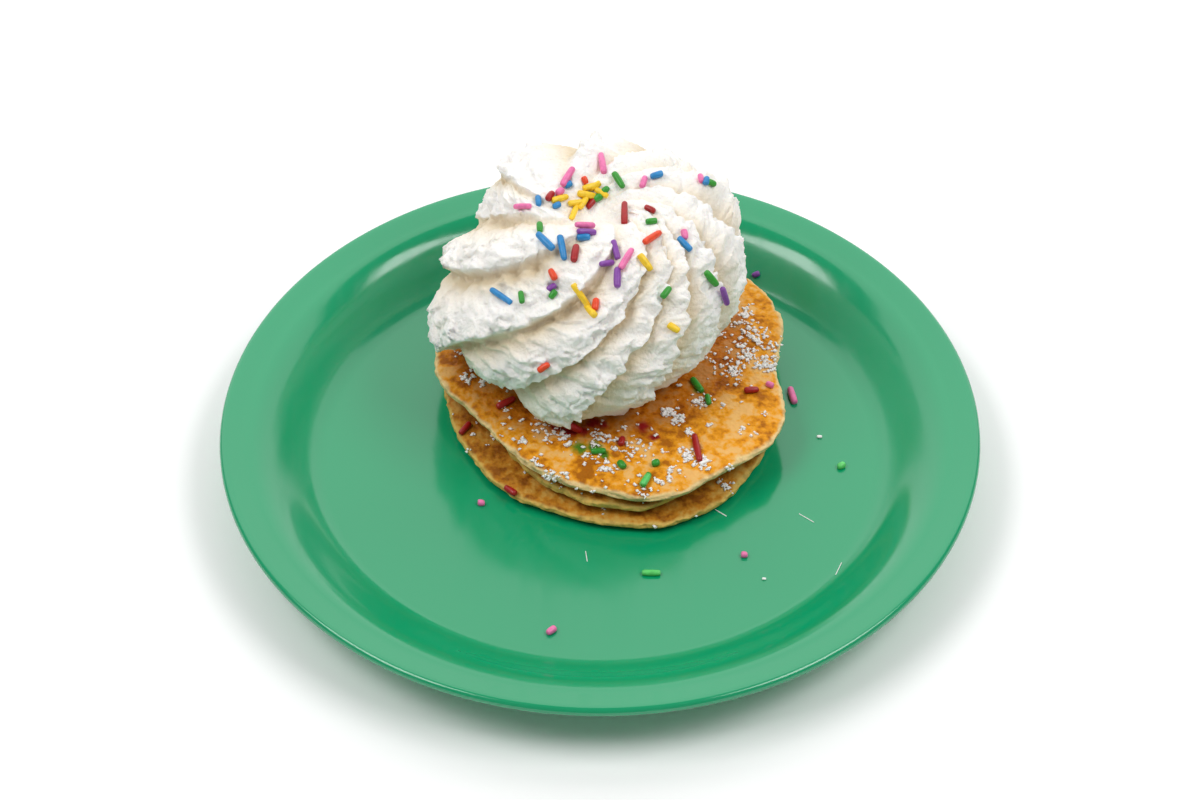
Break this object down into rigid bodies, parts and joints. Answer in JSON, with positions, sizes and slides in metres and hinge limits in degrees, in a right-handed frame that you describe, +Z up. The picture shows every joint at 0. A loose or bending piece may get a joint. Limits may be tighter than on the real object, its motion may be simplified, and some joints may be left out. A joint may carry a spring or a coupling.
{
  "type": "pancake stack on a plate",
  "caption": "Short stack of small round pancakes on a round narrow-rimmed plate, topped with a tall piped rosette of whipped cream.",
  "frame": {"origin": "middle of the plate's foot, on the surface it stands on", "axes": "+Z up; the stack's open front faces -Y; +X is to the right seen from the front"},
  "size_m": [0.2286, 0.2286, 0.076],
  "materials": {
    "plate": "glossy moulded melamine, green",
    "pancake": "griddled batter, golden brown with pale sides",
    "cream": "soft satin whipped cream",
    "sprinkle": "sugar sprinkles in mixed colours",
    "sugar": "powdered sugar and white crumbs"
  },
  "bodies": {
    "root": {"plate": "plate", "pancake_bottom": "pancake", "pancake_middle": "pancake", "pancake_top": "pancake", "whipped_cream": "cream"}
  },
  "joints": []
}
